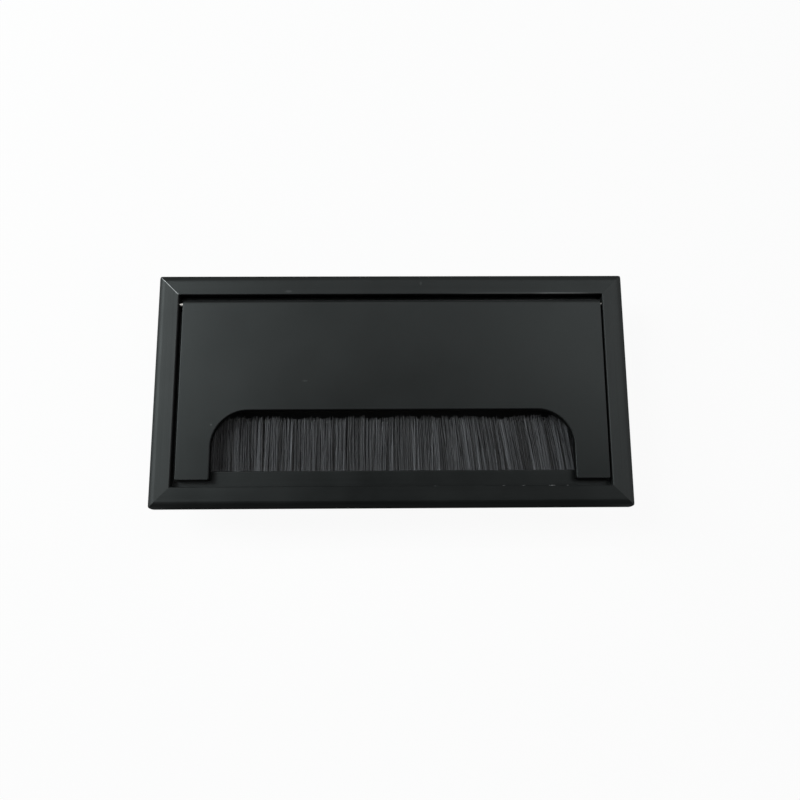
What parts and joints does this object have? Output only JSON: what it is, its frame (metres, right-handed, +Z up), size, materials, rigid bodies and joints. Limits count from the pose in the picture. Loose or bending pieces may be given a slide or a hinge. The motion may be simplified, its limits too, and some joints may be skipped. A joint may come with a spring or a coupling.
{
  "type": "desk cable grommet",
  "caption": "Rectangular drop-in desk cable grommet: mitred black aluminium frame, hinged flap with a rounded cable notch, and a strip brush that closes the notch around cables.",
  "frame": {"origin": "middle of the desk cut-out, on the desk's top surface, which is the underside of the flange", "axes": "+X along the frame, +Y from the brush side at the front to the hinge side at the rear, +Z up out of the desk"},
  "size_m": [0.16, 0.08, 0.02],
  "materials": {
    "black_anodised_rail": "satin",
    "black_anodised_flap": "satin",
    "bright_steel": "polished",
    "mill_aluminium": "satin",
    "black_oxide_steel": "satin",
    "galvanised_sheet": "satin",
    "black_nylon": "satin"
  },
  "bodies": {
    "frame": {"front_rail": "black_anodised_rail", "rear_rail": "black_anodised_rail", "left_rail": "black_anodised_rail", "right_rail": "black_anodised_rail", "front_left_key": "mill_aluminium", "front_right_key": "mill_aluminium", "rear_right_key": "mill_aluminium", "rear_left_key": "mill_aluminium", "corner_grub_screws": "black_oxide_steel", "hinge_pin_left": "bright_steel", "hinge_pin_right": "bright_steel", "brush_channel": "galvanised_sheet", "brush_core_wire": "bright_steel", "brush_bristles": "black_nylon"},
    "flap": {"flap": "black_anodised_flap"}
  },
  "joints": [
    {"name": "flap_hinge", "type": "hinge", "parent": "frame", "child": "flap", "pos_m": [0, 0.0297, 0.001], "axis": [-1, 0, 0], "range_deg": [0, 115]}
  ]
}
